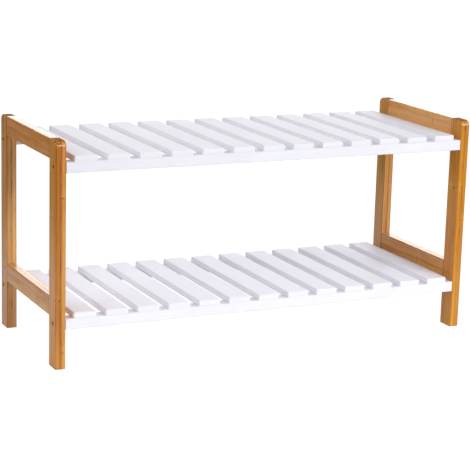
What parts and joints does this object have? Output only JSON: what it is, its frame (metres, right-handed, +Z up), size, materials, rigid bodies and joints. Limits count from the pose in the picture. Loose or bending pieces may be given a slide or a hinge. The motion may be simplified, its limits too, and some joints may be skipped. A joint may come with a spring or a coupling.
{
  "type": "entryway bench",
  "caption": "Two-tier slatted entryway shoe bench: laminated bamboo end frames joined by white lacquered wooden shelves of cross slats on front and rear rails.",
  "frame": {"origin": "middle of the footprint, on the floor", "axes": "+X along the bench to its right end, seen from the front; +Y from the front to the rear; +Z up"},
  "size_m": [0.7, 0.263, 0.343],
  "materials": {
    "bamboo_frame": "caramel laminated bamboo, clear satin lacquer",
    "white_lacquer": "opaque white satin lacquer on wood",
    "dowel_wood": "unfinished beech dowel",
    "screw_steel": "black-brown coated steel"
  },
  "bodies": {
    "root": {"front_left_leg": "bamboo_frame", "rear_left_leg": "bamboo_frame", "left_top_rail": "bamboo_frame", "left_cross_rail": "bamboo_frame", "front_right_leg": "bamboo_frame", "rear_right_leg": "bamboo_frame", "right_top_rail": "bamboo_frame", "right_cross_rail": "bamboo_frame", "front_left_top_dowel": "dowel_wood", "front_left_cross_dowel": "dowel_wood", "rear_left_top_dowel": "dowel_wood", "rear_left_cross_dowel": "dowel_wood", "front_right_top_dowel": "dowel_wood", "front_right_cross_dowel": "dowel_wood", "rear_right_top_dowel": "dowel_wood", "rear_right_cross_dowel": "dowel_wood", "upper_front_shelf_rail": "white_lacquer", "upper_rear_shelf_rail": "white_lacquer", "upper_slat_01": "white_lacquer", "upper_slat_02": "white_lacquer", "upper_slat_03": "white_lacquer", "upper_slat_04": "white_lacquer", "upper_slat_05": "white_lacquer", "upper_slat_06": "white_lacquer", "upper_slat_07": "white_lacquer", "upper_slat_08": "white_lacquer", "upper_slat_09": "white_lacquer", "upper_slat_10": "white_lacquer", "upper_slat_11": "white_lacquer", "upper_slat_12": "white_lacquer", "upper_slat_13": "white_lacquer", "lower_front_shelf_rail": "white_lacquer", "lower_rear_shelf_rail": "white_lacquer", "lower_slat_01": "white_lacquer", "lower_slat_02": "white_lacquer", "lower_slat_03": "white_lacquer", "lower_slat_04": "white_lacquer", "lower_slat_05": "white_lacquer", "lower_slat_06": "white_lacquer", "lower_slat_07": "white_lacquer", "lower_slat_08": "white_lacquer", "lower_slat_09": "white_lacquer", "lower_slat_10": "white_lacquer", "lower_slat_11": "white_lacquer", "lower_slat_12": "white_lacquer", "lower_slat_13": "white_lacquer", "upper_front_left_screw": "screw_steel", "lower_front_left_screw": "screw_steel", "upper_rear_left_screw": "screw_steel", "lower_rear_left_screw": "screw_steel", "upper_front_right_screw": "screw_steel", "lower_front_right_screw": "screw_steel", "upper_rear_right_screw": "screw_steel", "lower_rear_right_screw": "screw_steel"}
  },
  "joints": []
}
